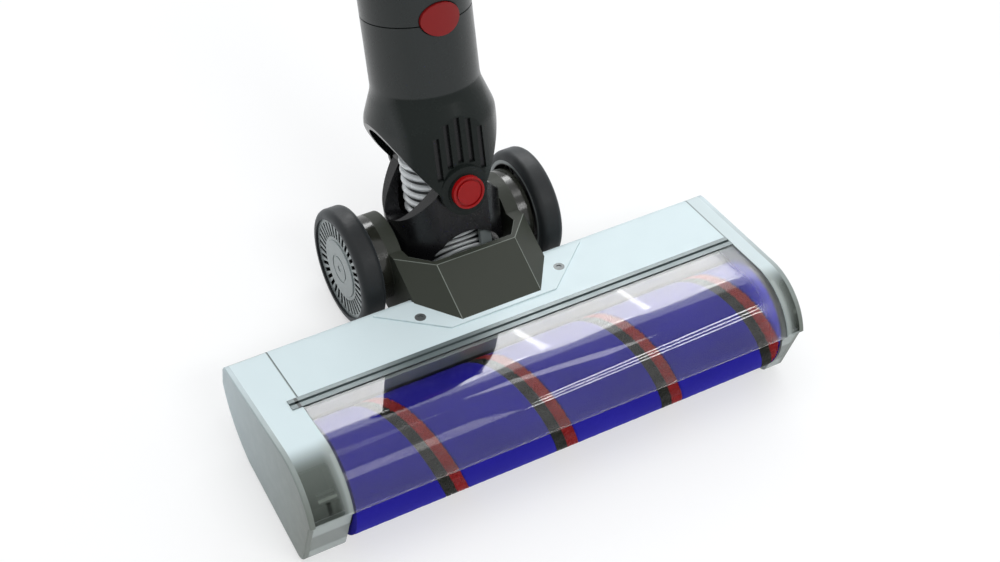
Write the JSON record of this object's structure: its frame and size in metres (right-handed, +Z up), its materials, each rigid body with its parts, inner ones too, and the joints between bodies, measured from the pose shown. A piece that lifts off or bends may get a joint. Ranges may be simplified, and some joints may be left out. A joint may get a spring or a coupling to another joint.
{
  "type": "vacuum nozzle",
  "caption": "Stick vacuum floor head: plush roller under a clear hood, silver cover, slotted rear wheels and a leaning two-axis neck with wand socket.",
  "frame": {"origin": "on the floor, under the middle of the whole part", "axes": "+X to the right along the roller as seen from the front, -Y to the front, +Z up"},
  "size_m": [0.25, 0.2078, 0.187],
  "materials": {
    "grey_shell": "satin",
    "smoke_clear": "smoky clear",
    "clear": "clear",
    "black_shell": "satin",
    "silver_shell": "satin silver",
    "seal_rubber": "matte",
    "steel": "brushed",
    "shroud_grey": "satin",
    "blue_plush": "plush",
    "dark_bristle": "bristle",
    "red_bristle": "bristle",
    "white_acetal": "satin",
    "motor_can": "satin",
    "strip_grey": "satin",
    "tyre": "matte",
    "hub_grey": "satin",
    "neck_charcoal": "satin",
    "red_gloss": "gloss",
    "hose_black": "satin"
  },
  "bodies": {
    "head": {"left_end_plate": "grey_shell", "left_end_box": "smoke_clear", "left_corner_block": "black_shell", "right_end_box": "grey_shell", "right_corner_block": "grey_shell", "right_end_plate": "grey_shell", "hood": "clear", "top_cover": "silver_shell", "seam_strip": "strip_grey", "chassis": "black_shell", "seal_strip": "seal_rubber", "cover_screws": "steel", "rear_shroud": "shroud_grey", "left_sole_pin": "steel", "right_sole_pin": "steel", "left_wheel_axle": "steel", "right_wheel_axle": "steel", "left_pitch_pin": "steel", "right_pitch_pin": "steel", "drive_motor": "motor_can", "lower_cuff": "hose_black"},
    "lock": {"end_lock": "grey_shell"},
    "roller": {"roller_tube": "black_shell", "plush_sleeve": "blue_plush", "dark_band": "dark_bristle", "red_band": "red_bristle", "roller_bearing": "white_acetal", "roller_end_cap": "black_shell", "drive_dog": "white_acetal"},
    "left_wheel": {"left_tyre": "tyre", "left_hub": "hub_grey", "left_hub_cap": "hub_grey"},
    "right_wheel": {"right_tyre": "tyre", "right_hub": "hub_grey", "right_hub_cap": "hub_grey"},
    "left_caster": {"left_sole_wheel": "black_shell"},
    "right_caster": {"right_sole_wheel": "black_shell"},
    "yoke_body": {"yoke": "black_shell", "yoke_tab": "hub_grey", "hose_ring": "black_shell", "hose_lower": "hose_black"},
    "neck": {"neck_shell": "neck_charcoal", "neck_collar": "neck_charcoal", "front_roll_pin": "red_gloss", "rear_roll_pin": "red_gloss", "contact_block": "black_shell", "hose_upper": "hose_black", "upper_cuff": "hose_black"},
    "button": {"release_button": "red_gloss"}
  },
  "joints": [
    {"name": "roller_spin", "type": "hinge", "parent": "head", "child": "roller", "pos_m": [0, -0.07821, 0.0258], "axis": [1, 0, 0], "continuous": true},
    {"name": "left_wheel_spin", "type": "hinge", "parent": "head", "child": "left_wheel", "pos_m": [0, 0.02109, 0.0285], "axis": [1, 0, 0], "continuous": true},
    {"name": "right_wheel_spin", "type": "hinge", "parent": "head", "child": "right_wheel", "pos_m": [0, 0.02109, 0.0285], "axis": [1, 0, 0], "continuous": true},
    {"name": "left_caster_spin", "type": "hinge", "parent": "head", "child": "left_caster", "pos_m": [0, -0.04986, 0.0045], "axis": [1, 0, 0], "continuous": true},
    {"name": "right_caster_spin", "type": "hinge", "parent": "head", "child": "right_caster", "pos_m": [0, -0.04986, 0.0045], "axis": [1, 0, 0], "continuous": true},
    {"name": "end_lock_turn", "type": "hinge", "parent": "head", "child": "lock", "pos_m": [0.125, -0.07821, 0.0258], "axis": [1, 0, 0], "range_deg": [0, 90]},
    {"name": "neck_pitch", "type": "hinge", "parent": "head", "child": "yoke_body", "pos_m": [0, 0.02109, 0.0285], "axis": [-1, 0, 0], "range_deg": [-10, 60], "deforming": ["hose_lower"]},
    {"name": "neck_roll", "type": "hinge", "parent": "yoke_body", "child": "neck", "pos_m": [0, 0.0302, 0.06651], "axis": [0, -0.9063, 0.4226], "range_deg": [-40, 40], "deforming": ["hose_upper"]},
    {"name": "button_press", "type": "slide", "parent": "neck", "child": "button", "axis": [0, 0.9063, -0.4226], "range_m": [0, 0.0016], "stiffness_N_per_m": 1500}
  ]
}
